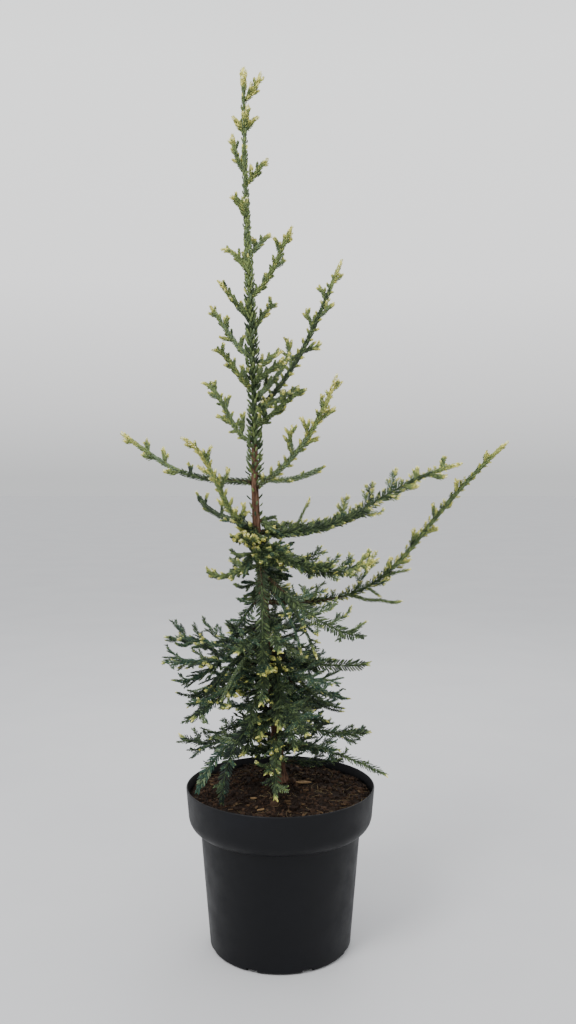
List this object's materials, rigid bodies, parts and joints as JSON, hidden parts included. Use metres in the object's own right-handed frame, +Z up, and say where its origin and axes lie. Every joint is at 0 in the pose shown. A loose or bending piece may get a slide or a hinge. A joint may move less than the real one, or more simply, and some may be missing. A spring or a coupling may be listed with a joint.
{
  "type": "potted adpressa coast redwood",
  "caption": "Young coast redwood in a round collared nursery pot, with one straight leader, long upswept side boughs and a dense low crown of needle sprays.",
  "frame": {"origin": "centre of the pot's flat underside, on the floor", "axes": "+Z up, +X to the right in the picture, +Y away from the camera"},
  "size_m": [0.5217, 0.3025, 1.199],
  "materials": {
    "pot": "black moulded plastic with a soft sheen",
    "soil": "loose damp peat with straw-coloured fibres and bark chips",
    "bark": "thin reddish-brown bark with fine upright ridges",
    "foliage": "dull green needles with pale yellow young tips"
  },
  "bodies": {
    "root": {"pot": "pot", "soil": "soil", "trunk": "bark", "foliage_leader_tip": "foliage", "foliage_leader_1": "foliage", "foliage_leader_2": "foliage", "foliage_leader_3": "foliage", "foliage_leader_4": "foliage", "foliage_leader_5": "foliage", "foliage_leader_6": "foliage", "foliage_leader_7": "foliage", "foliage_leader_8": "foliage", "foliage_leader_9": "foliage", "foliage_leader_10": "foliage", "foliage_leader_11": "foliage", "foliage_leader_12": "foliage", "foliage_leader_13": "foliage", "foliage_leader_14": "foliage", "bough_middle_1": "bark", "foliage_middle_1": "foliage", "foliage_middle_2": "foliage", "foliage_middle_3": "foliage", "bough_middle_4": "bark", "foliage_middle_4": "foliage", "foliage_middle_5": "foliage", "bough_middle_6": "bark", "foliage_middle_6": "foliage", "foliage_middle_7": "foliage", "foliage_middle_8": "foliage", "bough_middle_9": "bark", "foliage_middle_9": "foliage", "bough_middle_10": "bark", "foliage_middle_10": "foliage", "foliage_middle_11": "foliage", "bough_middle_12": "bark", "foliage_middle_12": "foliage", "foliage_middle_13": "foliage", "bough_middle_14": "bark", "foliage_middle_14": "foliage", "foliage_middle_15": "foliage", "bough_middle_16": "bark", "foliage_middle_16": "foliage", "foliage_low_1": "foliage", "foliage_low_2": "foliage", "foliage_low_3": "foliage", "foliage_low_4": "foliage", "foliage_low_5": "foliage", "foliage_low_6": "foliage", "foliage_low_7": "foliage", "foliage_low_8": "foliage", "foliage_low_9": "foliage", "foliage_low_10": "foliage", "foliage_low_11": "foliage", "foliage_low_12": "foliage", "foliage_low_13": "foliage", "foliage_low_14": "foliage", "foliage_low_15": "foliage", "foliage_low_16": "foliage", "foliage_low_17": "foliage", "foliage_low_18": "foliage"}
  },
  "joints": []
}
